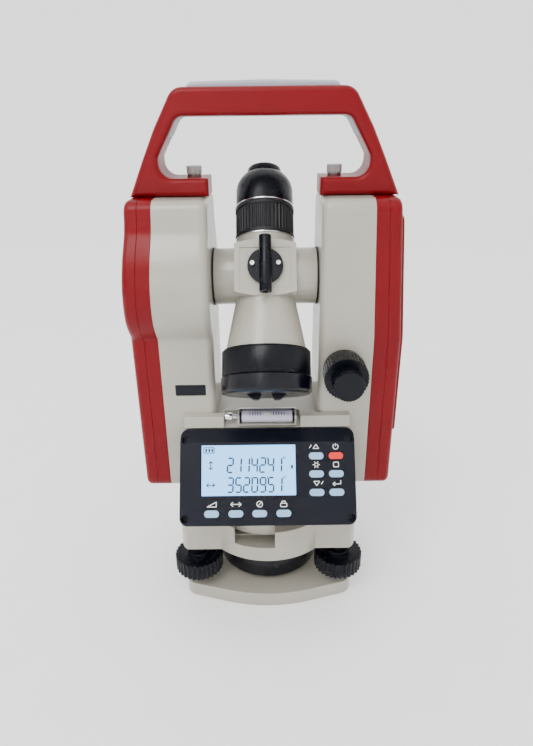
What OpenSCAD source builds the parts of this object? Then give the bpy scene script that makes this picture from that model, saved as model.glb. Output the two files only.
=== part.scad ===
// Electronic theodolite: a levelling base, a turning alidade with two standards, and a telescope.
// Millimetres, +Z up along the vertical axis, origin at the mouth of the tripod thread.
// The display faces -Y, and the transit axis runs along X.

/* [Levelling base] */
// Thickness of the base plate
plate_t = 11; // [10:1:14]
// Distance from the vertical axis to each foot screw
foot_r = 58; // [56:1:60]
// Radius of the foot screw knobs
knob_r = 17; // [15:0.5:18]
// Underside of the tribrach head
head_z = 42; // [41:0.5:43]
// Top of the tribrach head
head_top = 66; // [65.5:0.5:66]
// Radius of the 5/8 inch tripod thread
thread_r = 7.94; // [7.9:0.01:8]

/* [Standards] */
// Distance from the vertical axis to the inner face of each standard
inner_x = 32.5; // [32.5:0.1:34]
// Where the casting ends and the red side cover begins
cast_x = 66; // [64:0.5:67]
// Parting line between the two halves of a side cover
part_x = 74.5; // [72:0.5:76]
// Outer face of the side covers
cover_x = 83; // [80:0.5:85]
// Half of the depth of a standard
std_y = 28; // [27:0.5:28]
// Underside of the standards
std_z = 88; // [88:0.5:90]
// Top of the standards
std_top = 278; // [276:0.5:280]
// Wall thickness of the castings
wall = 3.2; // [2.8:0.1:3.4]
// Radius of the vertical circle housing on the left standard
bulge_r = 42; // [40:0.5:43]

/* [Telescope] */
// Height of the transit axis
axis_z = 228; // [227:0.5:230]
// Tilt of the telescope away from straight down, at rest
tilt = 31.7; // [0:0.1:60]
// Radius of the objective barrel
barrel_r = 27.5; // [26:0.5:27.5]
// Distance from the transit axis to the lens cap's face
cap_reach = 75.5; // [73:0.5:76]
// Radius of the trunnion hubs
hub_r = 17.4; // [17:0.1:18]

/* [Control panel] */
// Half of the panel's width
panel_x = 55.2; // [54:0.2:56]
// Lean of the panel's face from upright
panel_lean = 33; // [33:1:33]
// Height of the face from its lower edge to the bevel
face_h = 51.5; // [50:0.5:51.5]

/* [Handle] */
// Underside of the handle's grip bar
grip_z = 320.5; // [319:0.5:322]
// Top of the handle's grip bar
handle_top = 335; // [334:0.5:337]
// Half of the handle's depth
handle_y = 14.5; // [13:0.5:16]

/* [Hidden] */
$fn = 64;

ivory = [0.87, 0.86, 0.81];
signal_red = [0.75, 0.12, 0.12];
black_plastic = [0.07, 0.07, 0.08];
steel = [0.72, 0.73, 0.75];
glass_blue = [0.75, 0.86, 0.9];

// Levelling base
foot_angles = [210, 330, 90];
knob_z = 21;
knob_t = 12;
plate_corner_r = 9.4;
ball_z = 7.3;
ball_r = 4.9;
foot_thread_r = 4.95;
foot_thread_top = 56;
lobe_r = 9.8;
lobe_side = 37.6;
boss_r = 50;
recess_r = 43;
recess_z = 54;
sleeve_r = 16;
spindle_r = 9;
beam_r = 5;
circle_z = 58.4;
vial_lug = [-52, 30];

// Alidade
drum_bore = 38.5;
slab_z = 66.8;
slab = [53, 34];
flange_z = 70;
flange_top = 76;
floor_z = 141;
rear_y = 40;
gap = 0.05;

// Trunnions and the vertical clamp
shaft_r = 10;
bearing_r = 16;
boss_x = 40;
clamp_x = 48;
clamp_z = 176;
h_clamp_x = 24;
h_clamp_z = 104;
ring_knob_r = 13.6;
ring_knob_l = 17;
fine_knob_r = 9.3;
fine_knob_l = 10.8;
fine_shaft_r = 3.4;
clamp_sleeve_r = 6;
running = 0.1;
left_draft_z = 210;
left_draft = 0.06;
draft_z = 195;
draft = 0.07;

// Handle
foot_top = 288.2;
handle_inner_x = 32;
handle_screw_x = 41;

// Battery
pack_y = 21;
pack_z0 = 132;
pack_z1 = 266;
cell_r = 7.1;
cell_l = 50;
latch_x = 76;

// Control panel, in its own frame: x across, y up the face, z out of it
panel_y = -70;
panel_z = 88.5;
panel_t = 9;
bevel_h = 9;
bevel_t = 4.9;
key_size = [9.2, 4.4];
key_out = 1;
key_depth = 6;
side_key_x = [30.7, 43.1];
side_key_y = [42.5, 31.3, 19.9];
row_key_x = [-35.1, -20, -5.2, 9.8];
row_key_y = 7.4;
lcd_x = [-41.8, 17.9];
lcd_y = [18.1, 50];
panel_screw_x = 51.6;
panel_screw_y = [4.4, 53.2];

// Plate vial
vial_y = -27.5;
vial_z = 142.3;
vial_r = 4.4;
vial_half = 18;

// Telescope, in its own frame: the eyepiece is up +z, the objective is down -z
block = [18.7, 19.5];
block_z = [-15, 14.5];
block_bow = 3;
neck_r = 18.1;
tube_r = 15.5;
light_r = 15;
cone_end = -49;
cap_lip = -64.6;
barrel_end = -72;
focus_z = [23.2, 43.4];
eye_shoulder = 56;
eye_cover_top = 66.6;
eye_top = 70.6;

// Placing

module at_feet() {
    for (a = foot_angles) rotate([0, 0, a]) translate([foot_r, 0, 0]) children();
}

// Extrudes a profile drawn in Y and Z along X
module along_x(x0, x1) {
    translate([x0, 0, 0]) rotate([90, 0, 90]) linear_extrude(x1 - x0) children();
}

// Extrudes a profile drawn in X and Z along Y
module along_y(y0, y1) {
    translate([0, y1, 0]) rotate([90, 0, 0]) linear_extrude(y1 - y0) children();
}

module rod_x(x0, x1, r) {
    translate([x0, 0, 0]) rotate([0, 90, 0]) cylinder(r = r, h = x1 - x0);
}

module rod_y(y0, y1, r) {
    translate([0, y0, 0]) rotate([-90, 0, 0]) cylinder(r = r, h = y1 - y0);
}

module tube(z0, z1, outer, inner) {
    translate([0, 0, z0]) difference() {
        cylinder(r = outer, h = z1 - z0);
        translate([0, 0, -1]) cylinder(r = inner, h = z1 - z0 + 2);
    }
}

module box(lo, hi) {
    translate(lo) cube(hi - lo);
}

module on_transit_axis() {
    translate([0, 0, axis_z]) children();
}

module in_telescope() {
    on_transit_axis() rotate([-tilt, 0, 0]) children();
}

module on_panel() {
    translate([0, panel_y, panel_z]) rotate([90 - panel_lean, 0, 0]) children();
}

// Rectangle with round corners
module rounded(x0, x1, y0, y1, r) {
    centres = [[x1 - r, y1 - r], [x0 + r, y1 - r], [x0 + r, y0 + r], [x1 - r, y0 + r]];
    polygon([for (i = [0:3], a = [0:11.25:90])
        [centres[i][0] + r * cos(90 * i + a), centres[i][1] + r * sin(90 * i + a)]]);
}

// Levelling base

// Rounded triangle with bowed sides
module plate_outline() {
    bow = 49;
    bow_centre = 58.8;
    hull() {
        for (a = foot_angles) rotate(a) translate([foot_r, 0]) circle(r = plate_corner_r, $fn = 48);
        for (a = foot_angles) rotate(a + 60)
            polygon([for (t = [-28:4:28]) [
                (bow + bow_centre) * cos(t) - bow_centre, (bow + bow_centre) * sin(t)]]);
    }
}

module spring_outline(grow) {
    difference() {
        union() {
            circle(r = 21 + grow);
            for (a = foot_angles) rotate(a) translate([0, -6 - grow]) square([foot_r, 12 + 2 * grow]);
            for (a = foot_angles) rotate(a) translate([foot_r, 0]) circle(r = 8 + grow);
        }
        circle(r = 14 - grow);
    }
}

module base_plate() {
    color(ivory) difference() {
        linear_extrude(plate_t) plate_outline();
        translate([0, 0, -1]) cylinder(r = thread_r, h = plate_t + 2);
        translate([0, 0, -1]) linear_extrude(3.2) spring_outline(0.4);
        at_feet() cylinder(r = 5.6, h = 9.3);
        at_feet() cylinder(r = 4.6, h = plate_t + 1);
    }
}

module spring_plate() {
    color(steel) translate([0, 0, 0.7]) linear_extrude(1.5) spring_outline(0);
}

// Knob outline with shallow finger flutes
module fluted(r, n, depth) {
    polygon([for (i = [0:4 * n - 1]) let (
        rr = i % 4 < 2 ? r : r - depth) [rr * cos(90 * i / n), rr * sin(90 * i / n)]]);
}

module foot_screw(angle) {
    color(black_plastic) rotate([0, 0, angle]) translate([foot_r, 0, 0]) {
        translate([0, 0, ball_z]) sphere(r = ball_r);
        translate([0, 0, ball_z]) cylinder(r = 3.9, h = knob_z - ball_z + 1);
        translate([0, 0, knob_z]) linear_extrude(knob_t) fluted(knob_r, 30, 1);
        translate([0, 0, knob_z + knob_t]) cylinder(r = 8.5, h = 3.5);
        translate([0, 0, knob_z + knob_t]) cylinder(r = foot_thread_r, h = foot_thread_top - knob_z - knob_t);
    }
}

module tribrach_head() {
    color(ivory) difference() {
        union() {
            translate([0, 0, head_z]) linear_extrude(head_top - head_z) intersection() {
                hull() for (a = foot_angles) rotate(a) translate([foot_r + 1, 0]) circle(r = lobe_r, $fn = 48);
                polygon([for (a = foot_angles) 2 * lobe_side * [cos(a), sin(a)]]);
            }
            translate([0, 0, head_z]) cylinder(r = boss_r, h = head_top - head_z);
            translate([vial_lug[0], vial_lug[1], 46]) cylinder(r = 10.5, h = 9);
        }
        translate([0, 0, head_z - 1]) cylinder(r = sleeve_r, h = head_top);
        translate([0, 0, recess_z]) cylinder(r = recess_r, h = head_top);
        translate([0, 0, head_z - 1]) at_feet() cylinder(r = foot_thread_r + 0.05, h = foot_thread_top + 3 - head_z);
        translate([vial_lug[0], vial_lug[1], 55]) cylinder(r = 11, h = head_top);
        box([-23, -boss_r - 1, 53], [4.5, -36, head_top + 1]);
    }
}

module tribrach_skirt() {
    color(black_plastic) tube(15, head_z, 37, 33);
}

module axis_sleeve() {
    color(steel) difference() {
        union() {
            translate([0, 0, 17]) cylinder(r = sleeve_r - 0.03, h = recess_z - 17);
            translate([0, 0, recess_z]) cylinder(r = 24, h = circle_z - recess_z);
        }
        translate([0, 0, 16]) cylinder(r = spindle_r + 0.03, h = circle_z);
    }
}

module horizontal_circle() {
    color(glass_blue) tube(circle_z, circle_z + 2, 36.5, 17);
}

module circular_vial() {
    color(steel) translate([vial_lug[0], vial_lug[1], 0]) {
        tube(55, 61, 8.5, 6.5);
        color(glass_blue) tube(55, 60.4, 6.45, 0.01);
    }
}

// Alidade

module vertical_spindle() {
    color(steel) difference() {
        union() {
            translate([0, 0, 18]) cylinder(r = spindle_r, h = flange_top - 18);
            translate([0, 0, circle_z + 0.1]) cylinder(r = 13, h = flange_z - circle_z);
            translate([0, 0, flange_z]) cylinder(r = drum_bore - 0.05, h = flange_top - flange_z);
            translate([0, 0, flange_z]) cylinder(r = 12, h = 14);
        }
        translate([0, 0, 17]) cylinder(r = beam_r, h = 70);
    }
}

module laser_plummet() {
    color(black_plastic) {
        translate([0, 0, 84]) cylinder(r = 8, h = 26);
        box([-11, -9, 110], [11, 9, 112]);
    }
}

// Side view of the console that carries the panel, in Y and Z
module console_outline() {
    back = -std_y - 0.02;
    polygon([[back, 70], [-50, 76], [-60, 86.6], [-30.4, 132.1], [-29.1, 134.7],
             [-33, 137.4], [-31.6, 144.6], [back, 145.6]]);
}

module alidade_casing() {
    color(ivory) difference() {
        union() {
            translate([0, 0, 58.2]) cylinder(r = recess_r - 0.7, h = slab_z - 58);
            translate([0, 0, slab_z]) linear_extrude(std_z - gap - slab_z)
                rounded(-slab[0], slab[0], -slab[1], slab[1], 10);
            box([-inner_x + gap, -std_y - 1, slab_z + 1], [inner_x - gap, std_y, floor_z]);
            along_x(-slab[0], slab[0]) console_outline();
            along_x(-45, 45) rounded(std_y + 0.02, rear_y, 72, 130, 5);
            box([-inner_x + gap, std_y - 1, 74], [inner_x - gap, std_y + 3, 128]);
        }
        translate([0, 0, 54]) cylinder(r = drum_bore, h = flange_top - 54);
        box([-29, -24, flange_top - 1], [29, 24, floor_z - 6]);
        along_x(-48, 48) polygon([[-32, 80], [-46, 81], [-56.5, 88], [-64, 88], [-33, 136], [-32, 128]]);
        translate([h_clamp_x, 0, h_clamp_z]) rod_y(20, rear_y + 1, clamp_sleeve_r + running);
        box([-vial_half - 9.8, -40, vial_z - vial_r - 0.6], [vial_half + 3.5, vial_y + vial_r + 7, 150]);
    }
}

// Side view of a standard, in Y and Z
module std_outline(round_side) {
    rounded(-std_y, std_y, std_z, std_top, 7);
    if (round_side) translate([0, axis_z]) circle(r = bulge_r);
}

// The same outline moved in by a wall
module std_inside(round_side) {
    rounded(-std_y + wall, std_y - wall, std_z + wall, std_top - wall, 4);
    if (round_side) translate([0, axis_z]) circle(r = bulge_r - wall);
}

// All that lies within x of the middle, where the side leans in above its draft level
module leaning(side, x) {
    top = std_top + 5;
    start = side < 0 ? left_draft_z : draft_z;
    slope = side < 0 ? left_draft : draft;
    mirror([side < 0 ? 1 : 0, 0, 0]) along_y(-60, 60) polygon([
        [0, 70], [x, 70], [x, start], [x - slope * (top - start), top], [0, top]
    ]);
}

module standard(side, round_side) {
    bore_l = boss_x - inner_x + 2;
    color(ivory) difference() {
        union() {
            difference() {
                along_x(min(side * inner_x, side * cast_x), max(side * inner_x, side * cast_x))
                    std_outline(round_side);
                along_x(min(side * (inner_x + wall), side * (cast_x + 1)),
                        max(side * (inner_x + wall), side * (cast_x + 1))) std_inside(round_side);
            }
            on_transit_axis() mirror([side < 0 ? 1 : 0, 0, 0]) rod_x(inner_x + 1, boss_x, 20);
            box([side * handle_screw_x - 6, -6, std_top - 12], [side * handle_screw_x + 6, 6, std_top - 1]);
        }
        on_transit_axis() mirror([side < 0 ? 1 : 0, 0, 0]) rod_x(inner_x - 1, inner_x - 1 + bore_l, bearing_r + 0.02);
        translate([side * handle_screw_x, 0, std_top - 13]) cylinder(r = 2.5, h = 20);
        if (side > 0) translate([clamp_x, 0, clamp_z]) rod_y(-std_y - 1, -15, clamp_sleeve_r + running);
    }
}

module cover_frame(side, round_side) {
    color(signal_red) difference() {
        along_x(min(side * cast_x, side * part_x), max(side * cast_x, side * part_x)) std_outline(round_side);
        along_x(min(side * (cast_x - 1), side * (part_x + 1)), max(side * (cast_x - 1), side * (part_x + 1)))
            std_inside(round_side);
    }
}

module cover(side, round_side) {
    skin = cover_x - 2.5;
    color(signal_red) difference() {
        intersection() {
            along_x(min(side * part_x, side * cover_x), max(side * part_x, side * cover_x)) std_outline(round_side);
            leaning(side, cover_x);
        }
        intersection() {
            along_x(min(side * (part_x - 1), side * skin), max(side * (part_x - 1), side * skin))
                std_inside(round_side);
            leaning(side, skin);
        }
    }
}

module right_cover() {
    difference() {
        cover(1, false);
        box([part_x, -pack_y - 0.3, pack_z0 - 0.3], [cover_x + 1, pack_y + 0.3, pack_z1 + 0.3]);
    }
}

// Section of the pack's outer plate, which lies on the cover, in X and Z
module plate_section() {
    inner = cover_x + gap;
    outer = cover_x + 2.2;
    lean = draft * (std_top - draft_z);
    polygon([[inner, 120], [outer, 120], [outer, draft_z], [outer - lean, std_top],
             [inner - lean, std_top], [inner, draft_z]]);
}

module battery_pack() {
    cells_top = pack_z0 + 2 * cell_l + 10;
    color(signal_red) difference() {
        union() {
            intersection() {
                box([cast_x + 1, -pack_y, pack_z0], [cover_x + 1, pack_y, pack_z1]);
                leaning(1, cover_x + 1);
            }
            intersection() {
                along_x(cast_x + 1, cover_x + 3) rounded(-pack_y - 3, pack_y + 3, pack_z0 - 4, pack_z1 + 2, 4);
                along_y(-30, 30) plate_section();
            }
        }
        box([cast_x, -17.5, pack_z0 + 3], [cover_x - 2.6, 17.5, cells_top]);
        box([latch_x - 0.2, -6.3, pack_z1 - 15], [cover_x + 3, 6.3, pack_z1 - 3.8]);
    }
}

module battery_cells() {
    color(steel) for (y = [-8.2, 8.2], row = [0, 1])
        translate([cast_x + cell_r + 0.1, y, pack_z0 + 4 + row * (cell_l + 3)]) {
            cylinder(r = cell_r, h = cell_l);
            translate([0, 0, cell_l]) cylinder(r = 2.6, h = 1.2);
        }
}

module battery_latch() {
    color(black_plastic) along_x(latch_x, latch_x + 6) rounded(-6, 6, pack_z1 - 12, pack_z1 - 4, 1.5);
}

// Handle

// Front view of the handle, in X and Z
module handle_outline() {
    difference() {
        offset(r = 10, $fn = 48) offset(delta = -10)
            polygon([[-77.5, std_top - 30], [-77.5, std_top], [-68.6, 298], [-61, 314], [-49.2, handle_top],
                     [49.2, handle_top], [61, 314], [68.6, 298], [77.5, std_top], [77.5, std_top - 30]]);
        handle_opening();
        translate([-90, std_top - 40]) square([180, 40 + gap]);
    }
}

// The hand opening, which runs down between the two feet
module handle_opening() {
    offset(r = 6.5, $fn = 48) offset(delta = -6.5)
        polygon([[-47.8, grip_z], [47.8, grip_z], [59.8, 298], [59.2, foot_top], [-59.2, foot_top], [-59.8, 298]]);
    translate([-handle_inner_x, std_top - 45]) square([2 * handle_inner_x, 60]);
}

module handle() {
    color(signal_red) difference() {
        along_y(-handle_y, handle_y) handle_outline();
        box([-43.8, -10.3, handle_top - 2], [43.8, 10.3, handle_top + 5]);
        along_y(-9.3, 9.3) grip_liner();
        for (side = [-1, 1]) translate([side * handle_screw_x, 0, std_top - 1]) cylinder(r = 2.5, h = 20);
    }
}

// Soft lining above the hand opening, let into the bar by its own thickness
module grip_liner() {
    difference() {
        intersection() {
            offset(r = 1.6, $fn = 48) handle_opening();
            translate([-60, 311]) square([120, 20]);
        }
        handle_opening();
    }
}

module handle_grip() {
    crown_r = 30;
    color([0.72, 0.73, 0.76]) {
        intersection() {
            box([-43.6, -10, handle_top - 1.9], [43.6, 10, handle_top + 5]);
            translate([0, 0, handle_top + 3.4 - crown_r]) rod_x(-60, 60, crown_r);
        }
        along_y(-9.1, 9.1) intersection() {
            grip_liner();
            translate([-60, 311.2]) square([120, 20]);
        }
    }
}

module handle_screw(side) {
    color(steel) translate([side * handle_screw_x, 0, 0]) {
        translate([0, 0, foot_top + 0.1]) cylinder(r = 4, h = 1.6);
        translate([0, 0, foot_top + 1.5]) linear_extrude(4.4) fluted(4.4, 24, 0.25);
        translate([0, 0, std_top - 8]) cylinder(r = 2.4, h = foot_top - std_top + 9);
    }
}

// Control panel

module panel_plan(grow) {
    rounded(-panel_x - grow, panel_x + grow, -grow, face_h + bevel_h + grow, 5);
}

// Oblong with nearly round ends
module key_plan(grow) {
    half_w = key_size[0] / 2 + grow;
    half_h = key_size[1] / 2 + grow;
    rounded(-half_w, half_w, -half_h, half_h, half_h - 0.1);
}

module at_panel_screws() {
    for (x = [-1, 1], y = panel_screw_y) translate([x * panel_screw_x, y, 0]) children();
}

module panel_housing() {
    color(black_plastic) on_panel() difference() {
        translate([0, 0, -panel_t]) linear_extrude(panel_t) panel_plan(0);
        rotate([90, 0, 90]) translate([0, 0, -80]) linear_extrude(160)
            polygon([[face_h, 0.01], [face_h + bevel_h + 1, -bevel_t - 0.4], [face_h + bevel_h + 1, 5]]);
        box([lcd_x[0], lcd_y[0], -1.2], [lcd_x[1], lcd_y[1], 1]);
        box([lcd_x[0] + 2, lcd_y[0] + 2, -4], [lcd_x[1] - 2, lcd_y[1] - 2, 1]);
        for (x = side_key_x, y = side_key_y) translate([x, y, -5]) linear_extrude(8) key_plan(0.25);
        for (x = row_key_x) translate([x, row_key_y, -5]) linear_extrude(8) key_plan(0.25);
        box([-48, 3, -panel_t - 1], [48, 52, -3]);
        at_panel_screws() translate([0, 0, -7]) cylinder(r = 2.6, h = 10);
    }
}

module lcd_window() {
    color(glass_blue) on_panel()
        box([lcd_x[0] + gap, lcd_y[0] + gap, -1.2], [lcd_x[1] - gap, lcd_y[1] - gap, -0.1]);
}

module panel_screws() {
    color(steel) on_panel() at_panel_screws() difference() {
        translate([0, 0, -7]) cylinder(r = 2.5, h = 2);
        translate([0, 0, -6]) cylinder(r = 1.2, h = 3, $fn = 6);
    }
}

module main_board() {
    color([0.1, 0.4, 0.2]) on_panel() box([-46, 4, -8.8], [46, 51, -7.2]);
}

module key(x, y) {
    color([0.62, 0.74, 0.85]) on_panel() translate([x, y, key_out - key_depth])
        linear_extrude(key_depth) key_plan(0);
}

module red_key(x, y) {
    color([0.9, 0.15, 0.12]) on_panel() translate([x, y, key_out - key_depth])
        linear_extrude(key_depth) key_plan(0);
}

// Plate vial

module on_vial() {
    translate([0, vial_y, vial_z]) children();
}

module plate_vial_housing() {
    color(steel) on_vial() difference() {
        rod_x(-vial_half - 1, vial_half + 1, vial_r);
        rod_x(-vial_half + 1, vial_half - 1, vial_r - 1);
        box([-vial_half + 2.5, -3.6, 1.2], [vial_half - 2.5, 3.6, 6]);
    }
}

module plate_vial_glass() {
    color(glass_blue) on_vial() rod_x(-vial_half + 1.3, vial_half - 1.3, vial_r - 1.3);
}

module plate_vial_screw() {
    stem_r = 1.4;
    head_r = 2.8;
    color(steel) on_vial() {
        rod_x(-vial_half - 4.5, -vial_half - 1.1, stem_r);
        rod_x(-vial_half - 9.2, -vial_half - 4.4, head_r);
    }
}

// Bearings, clamps and their knobs

module trunnion_bearings() {
    color(steel) on_transit_axis() for (m = [0, 1]) mirror([m, 0, 0]) difference() {
        rod_x(inner_x + 0.1, boss_x - 0.1, bearing_r);
        rod_x(inner_x - 1, boss_x + 1, shaft_r + 0.03);
    }
}

// Collar round the right trunnion, with the arm that the fine screw pushes
module vertical_clamp_collar() {
    color(steel) difference() {
        union() {
            on_transit_axis() rod_x(42.5, 51, 17);
            box([clamp_x - 4, -5, clamp_z - 8], [clamp_x + 3, 5, axis_z - 12]);
        }
        on_transit_axis() rod_x(40, 60, shaft_r + 0.1);
    }
}

module clamp_knob(bore) {
    difference() {
        union() {
            rod_y(0.5, 5, ring_knob_r - 0.8);
            translate([0, 5, 0]) rotate([-90, 0, 0]) linear_extrude(ring_knob_l - 5) fluted(ring_knob_r, 36, 0.5);
            rod_y(-8, 0.6, clamp_sleeve_r);
        }
        rod_y(-9, ring_knob_l + 1, bore);
    }
}

module fine_knob(reach) {
    translate([0, ring_knob_l + 0.4, 0]) rotate([-90, 0, 0])
        linear_extrude(fine_knob_l) fluted(fine_knob_r, 30, 0.4);
    rod_y(reach, ring_knob_l + 1, fine_shaft_r);
}

module on_vertical_clamp() {
    translate([clamp_x, -std_y, clamp_z]) rotate([0, 0, 180]) children();
}

module on_horizontal_clamp() {
    translate([h_clamp_x, rear_y, h_clamp_z]) children();
}

module vertical_clamp_knob() {
    color(black_plastic) on_vertical_clamp() clamp_knob(fine_shaft_r + running);
}

module vertical_tangent_knob() {
    color(black_plastic) on_vertical_clamp() fine_knob(-std_y + 5.3);
}

module horizontal_clamp_knob() {
    color(black_plastic) on_horizontal_clamp() clamp_knob(fine_shaft_r + running);
}

module horizontal_tangent_knob() {
    color(black_plastic) on_horizontal_clamp() fine_knob(-26);
}

// Telescope

// Front view of the central block, with bowed ends, in X and Z
module block_outline() {
    span = 2 * asin(block[0] * 2 * block_bow / (block[0] * block[0] + block_bow * block_bow));
    bow_r = (block[0] * block[0] + block_bow * block_bow) / (2 * block_bow);
    polygon([
        for (t = [-span / 2:span / 12:span / 2 + 0.01])
            [bow_r * sin(t), block_z[1] + block_bow - bow_r + bow_r * cos(t)],
        for (t = [span / 2:-span / 12:-span / 2 - 0.01])
            [bow_r * sin(t), block_z[0] - block_bow + bow_r - bow_r * cos(t)]
    ]);
}

module telescope_body() {
    color(ivory) in_telescope() difference() {
        union() {
            along_y(-block[1], block[1]) block_outline();
            translate([0, 0, 10]) cylinder(r = neck_r, h = focus_z[0] - 10.2);
            translate([0, 0, 20]) cylinder(r = tube_r, h = focus_z[1] - 15);
            translate([0, 0, cone_end]) cylinder(r1 = 25.1, r2 = 17.6, h = 38);
            rod_x(-inner_x + 0.5, inner_x - 0.5, hub_r);
        }
        translate([0, 0, -30]) cylinder(r = light_r, h = 50);
        translate([0, 0, 19]) cylinder(r = 13, h = 40);
        translate([0, 0, cone_end - 1]) cylinder(r = 20, h = 22);
        for (m = [0, 1]) mirror([m, 0, 0]) rod_x(24, 40, shaft_r + 0.02);
        for (m = [0, 1]) mirror([0, m, 0]) box([-15.6, -block[1] - 1, -14], [15.6, -block[1] + 0.6, 12]);
    }
}

module objective_barrel() {
    color(black_plastic) in_telescope() difference() {
        union() {
            tube(cap_lip + 0.2, cone_end - gap, barrel_r, 20);
            tube(barrel_end, cap_lip + 1, 25.6, 20);
        }
        translate([0, 0, barrel_end - 1]) cylinder(r = 22.6, h = 15);
    }
}

// Height of a lens face above its middle, at radius x
function sag(x, curve) = curve - sqrt(curve * curve - x * x);

module objective_lens() {
    curve = 90;
    edge = 22.55;
    half_t = 5;
    color(glass_blue) in_telescope() translate([0, 0, barrel_end + 7.5]) rotate_extrude() polygon([
        for (i = [0:8]) [edge * i / 8, sag(edge * i / 8, curve) - half_t],
        for (i = [8:-1:0]) [edge * i / 8, half_t - sag(edge * i / 8, curve)]
    ]);
}

module lens_cap() {
    color(black_plastic) in_telescope() {
        difference() {
            translate([0, 0, -cap_reach]) cylinder(r = barrel_r + 0.5, h = cap_reach + cap_lip);
            translate([0, 0, -cap_reach + 2]) cylinder(r = 25.8, h = 20);
        }
        for (x = [-7.6, 7.6]) translate([x, 0, -cap_reach + 0.1]) difference() {
            rod_y(-5, 5, 4.4);
            translate([-6, -6, 0]) cube(12);
        }
    }
}

module trunnions() {
    color(steel) on_transit_axis() {
        mirror([1, 0, 0]) {
            rod_x(24.1, 50, shaft_r);
            rod_x(42, 43.9, 14);
            rod_x(46.1, 48, 14);
        }
        rod_x(24.1, 56, shaft_r);
    }
}

module vertical_circle() {
    color(glass_blue) on_transit_axis() mirror([1, 0, 0]) difference() {
        rod_x(43.95, 46.05, 34);
        rod_x(40, 50, shaft_r + 0.05);
    }
}

// Peep sights on the two faces of the block
module coarse_sights() {
    seat = block[1] - 0.6;
    color(black_plastic) in_telescope() for (m = [0, 1]) mirror([0, m, 0]) {
        difference() {
            union() {
                rod_y(-seat - 3, -seat, 10.7);
                box([-2.6, -seat - 5, -12], [2.6, -seat - 2, 12]);
                translate([0, -seat - 6, -17]) cylinder(r = 3.7, h = 34);
            }
            translate([0, -seat - 6, -18]) cylinder(r = 1.5, h = 36);
        }
        for (x = [-7.8, 7.8]) translate([x, 0, 1]) rod_y(-seat - 3.6, -seat - 2.9, 1.7);
    }
}

module focus_ring() {
    color(black_plastic) in_telescope() difference() {
        union() {
            translate([0, 0, focus_z[0]]) cylinder(r = neck_r + 0.6, h = 2.2);
            translate([0, 0, focus_z[0] + 2]) linear_extrude(focus_z[1] - focus_z[0] - 4)
                fluted(neck_r + 0.3, 48, 0.5);
            translate([0, 0, focus_z[1] - 2.5]) cylinder(r = neck_r + 0.6, h = 2.5);
        }
        translate([0, 0, 18]) cylinder(r = tube_r + 0.1, h = 30);
    }
}

module focus_lens() {
    color(glass_blue) in_telescope() translate([0, 0, -4]) cylinder(r = light_r - 0.3, h = 12);
}

module eyepiece_cover() {
    base = focus_z[1] + 0.2;
    color(black_plastic) in_telescope() difference() {
        rotate_extrude() polygon([[0, base], [neck_r, base], [neck_r, eye_shoulder], [17.3, 59.6], [15.4, 63],
                                  [13.4, 65.3], [11.4, eye_cover_top], [0, eye_cover_top]]);
        translate([0, 0, base - 1]) cylinder(r = tube_r + 0.02, h = 6);
        translate([0, 0, base]) cylinder(r = 9.6, h = 40);
    }
}

module eyepiece() {
    color(black_plastic) in_telescope() difference() {
        union() {
            translate([0, 0, 50]) cylinder(r = 9.5, h = eye_cover_top - 49);
            translate([0, 0, eye_cover_top + 0.2]) cylinder(r1 = 11.2, r2 = 10.6, h = eye_top - eye_cover_top);
        }
        translate([0, 0, eye_top - 2.5]) cylinder(r = 6, h = 10);
    }
}

base_plate();
spring_plate();
foot_screw(foot_angles[0]);  // foot_screw_left
foot_screw(foot_angles[1]);  // foot_screw_right
foot_screw(foot_angles[2]);  // foot_screw_rear
tribrach_head();
tribrach_skirt();
axis_sleeve();
horizontal_circle();
circular_vial();
vertical_spindle();
laser_plummet();
alidade_casing();
standard(-1, true);  // left_standard
standard(1, false);  // right_standard
cover_frame(-1, true);  // left_cover_frame
cover(-1, true);  // left_cover
cover_frame(1, false);  // right_cover_frame
right_cover();
battery_pack();
battery_cells();
battery_latch();
handle();
handle_grip();
handle_screw(-1);  // handle_screw_left
handle_screw(1);  // handle_screw_right
panel_housing();
lcd_window();
panel_screws();
main_board();
key(side_key_x[0], side_key_y[0]);  // key_up
red_key(side_key_x[1], side_key_y[0]);  // key_power
key(side_key_x[0], side_key_y[1]);  // key_light
key(side_key_x[1], side_key_y[1]);  // key_menu
key(side_key_x[0], side_key_y[2]);  // key_down
key(side_key_x[1], side_key_y[2]);  // key_enter
key(row_key_x[0], row_key_y);  // key_slope
key(row_key_x[1], row_key_y);  // key_side
key(row_key_x[2], row_key_y);  // key_zero
key(row_key_x[3], row_key_y);  // key_hold
plate_vial_housing();
plate_vial_glass();
plate_vial_screw();
trunnion_bearings();
vertical_clamp_collar();
vertical_clamp_knob();
vertical_tangent_knob();
horizontal_clamp_knob();
horizontal_tangent_knob();
telescope_body();
objective_barrel();
objective_lens();
lens_cap();
trunnions();
vertical_circle();
coarse_sights();
focus_ring();
focus_lens();
eyepiece_cover();
eyepiece();
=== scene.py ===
"""Looks of an electronic theodolite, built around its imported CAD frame. Metres, +Z up, display towards -Y."""
from math import cos, hypot, pi, radians, sin, sqrt, tan

import bmesh
import bpy
from mathutils import Matrix, Vector


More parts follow.
